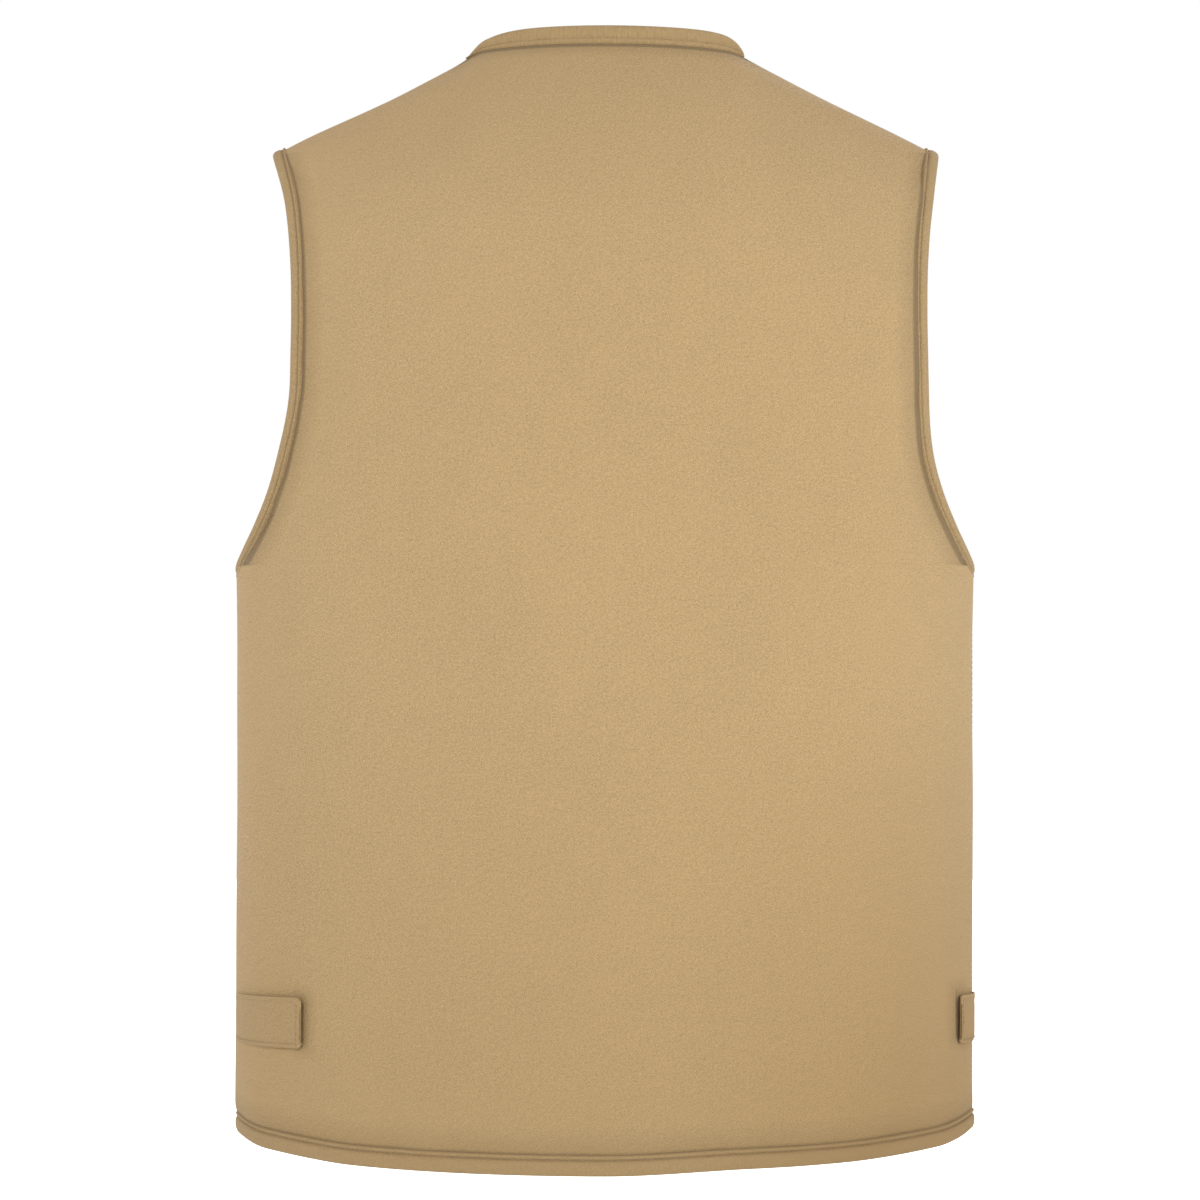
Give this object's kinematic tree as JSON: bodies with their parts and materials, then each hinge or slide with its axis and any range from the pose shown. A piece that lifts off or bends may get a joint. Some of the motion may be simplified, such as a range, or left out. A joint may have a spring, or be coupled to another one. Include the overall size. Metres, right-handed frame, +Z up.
{
  "type": "fishing vest",
  "caption": "Sleeveless cotton twill fishing vest with a plain back, bound neck, armholes and hem, pocketed zip fronts and hook-and-loop side tabs.",
  "frame": {"origin": "on the middle line, level with the points where the shoulder seams meet the neck: where the wearer's shoulders hold the vest up", "axes": "+Z up the wearer, the back of the vest faces +Y and its open front -Y, and the wearer's left is +X"},
  "size_m": [0.443, 0.2989, 0.6524],
  "materials": {
    "twill": "matt cotton twill",
    "binding": "matt folded cotton twill",
    "lining": "knitted polyester mesh",
    "tape": "woven polyester tape",
    "zip_teeth": "satin moulded acetal",
    "zip_metal": "satin plated zinc",
    "hook_patch": "moulded nylon hooks",
    "loop_patch": "brushed nylon loops",
    "label": "woven satin, left blank"
  },
  "bodies": {
    "back": {"back_panel": "twill", "back_lining": "lining", "neck_band": "binding", "hang_loop": "tape", "neck_label": "label", "back_hem_binding": "binding", "back_armhole_binding_left": "binding", "back_armhole_binding_right": "binding", "tab_loop_patch_left": "loop_patch", "tab_loop_patch_right": "loop_patch"},
    "front_left": {"front_panel_left": "twill", "front_lining_left": "lining", "front_armhole_binding_left": "binding", "v_neck_binding_left": "binding", "front_hem_binding_left": "binding", "zip_tape_left": "tape", "zip_teeth_left": "zip_teeth", "chest_pocket_left": "twill", "chest_loop_patch_left": "loop_patch", "lower_pocket_left": "twill", "pocket_zip_tape_left": "tape", "pocket_zip_teeth_left": "zip_teeth", "flap_pocket_left": "twill", "pocket_loop_patch_left": "loop_patch", "d_ring_loop": "tape"},
    "chest_flap_left": {"chest_flap_left": "twill", "chest_hook_patch_left": "hook_patch"},
    "pocket_flap_left": {"pocket_flap_left": "twill", "pocket_hook_patch_left": "hook_patch"},
    "pocket_slider_left": {"pocket_slider_left": "zip_metal"},
    "pocket_pull_left": {"pocket_pull_left": "zip_metal"},
    "side_tab_left": {"side_tab_left": "twill", "tab_hook_patch_left": "hook_patch"},
    "front_right": {"front_panel_right": "twill", "front_lining_right": "lining", "front_armhole_binding_right": "binding", "v_neck_binding_right": "binding", "front_hem_binding_right": "binding", "zip_tape_right": "tape", "zip_teeth_right": "zip_teeth", "chest_pocket_right": "twill", "chest_loop_patch_right": "loop_patch", "lower_pocket_right": "twill", "pocket_zip_tape_right": "tape", "pocket_zip_teeth_right": "zip_teeth", "flap_pocket_right": "twill", "pocket_loop_patch_right": "loop_patch"},
    "chest_flap_right": {"chest_flap_right": "twill", "chest_hook_patch_right": "hook_patch"},
    "pocket_flap_right": {"pocket_flap_right": "twill", "pocket_hook_patch_right": "hook_patch"},
    "pocket_slider_right": {"pocket_slider_right": "zip_metal"},
    "pocket_pull_right": {"pocket_pull_right": "zip_metal"},
    "side_tab_right": {"side_tab_right": "twill", "tab_hook_patch_right": "hook_patch"},
    "main_slider": {"main_slider": "zip_metal"},
    "main_pull": {"main_pull": "zip_metal"},
    "d_ring": {"d_ring": "zip_metal"}
  },
  "joints": [
    {"name": "front_left_swing", "type": "hinge", "parent": "back", "child": "front_left", "pos_m": [0.217, 0, -0.539], "axis": [0, 0, 1], "range_deg": [0, 35]},
    {"name": "side_tab_left_peel", "type": "hinge", "parent": "back", "child": "side_tab_left", "pos_m": [0.2215, 0.00504, -0.5705], "axis": [0, 0, -1], "range_deg": [0, 60]},
    {"name": "chest_flap_left_lift", "type": "hinge", "parent": "front_left", "child": "chest_flap_left", "pos_m": [0.08962, -0.11706, -0.258], "axis": [-0.9877, -0.1564, 0], "range_deg": [0, 90]},
    {"name": "pocket_flap_left_lift", "type": "hinge", "parent": "front_left", "child": "pocket_flap_left", "pos_m": [0.08189, -0.13853, -0.496], "axis": [-0.9877, -0.1564, 0], "range_deg": [0, 70]},
    {"name": "pocket_slider_left_run", "type": "slide", "parent": "front_left", "child": "pocket_slider_left", "axis": [0.9877, 0.1564, 0], "range_m": [0, 0.0811]},
    {"name": "pocket_pull_left_swing", "type": "hinge", "parent": "pocket_slider_left", "child": "pocket_pull_left", "pos_m": [0.04248, -0.15055, -0.457], "axis": [-0.9877, -0.1564, 0], "range_deg": [0, 120]},
    {"name": "front_right_swing", "type": "hinge", "parent": "back", "child": "front_right", "pos_m": [-0.217, 0, -0.539], "axis": [0, 0, -1], "range_deg": [0, 35]},
    {"name": "side_tab_right_peel", "type": "hinge", "parent": "back", "child": "side_tab_right", "pos_m": [-0.2215, 0.00504, -0.5705], "axis": [0, 0, 1], "range_deg": [0, 60]},
    {"name": "chest_flap_right_lift", "type": "hinge", "parent": "front_right", "child": "chest_flap_right", "pos_m": [-0.08962, -0.11706, -0.258], "axis": [-0.9877, 0.1564, 0], "range_deg": [0, 90]},
    {"name": "pocket_flap_right_lift", "type": "hinge", "parent": "front_right", "child": "pocket_flap_right", "pos_m": [-0.08189, -0.13853, -0.496], "axis": [-0.9877, 0.1564, 0], "range_deg": [0, 70]},
    {"name": "pocket_slider_right_run", "type": "slide", "parent": "front_right", "child": "pocket_slider_right", "axis": [-0.9877, 0.1564, 0], "range_m": [0, 0.0811]},
    {"name": "pocket_pull_right_swing", "type": "hinge", "parent": "pocket_slider_right", "child": "pocket_pull_right", "pos_m": [-0.04248, -0.15055, -0.457], "axis": [-0.9877, 0.1564, 0], "range_deg": [0, 120]},
    {"name": "main_slider_run", "type": "slide", "parent": "front_right", "child": "main_slider", "axis": [0, 0, 1], "range_m": [0, 0.3966]},
    {"name": "main_pull_swing", "type": "hinge", "parent": "main_slider", "child": "main_pull", "pos_m": [-0.0037, -0.13117, -0.6201], "axis": [-0.9877, 0.1564, 0], "range_deg": [0, 120]},
    {"name": "d_ring_swing", "type": "hinge", "parent": "front_left", "child": "d_ring", "pos_m": [0.02757, -0.12992, -0.241], "axis": [-0.9877, -0.1564, 0], "range_deg": [0, 150]}
  ]
}
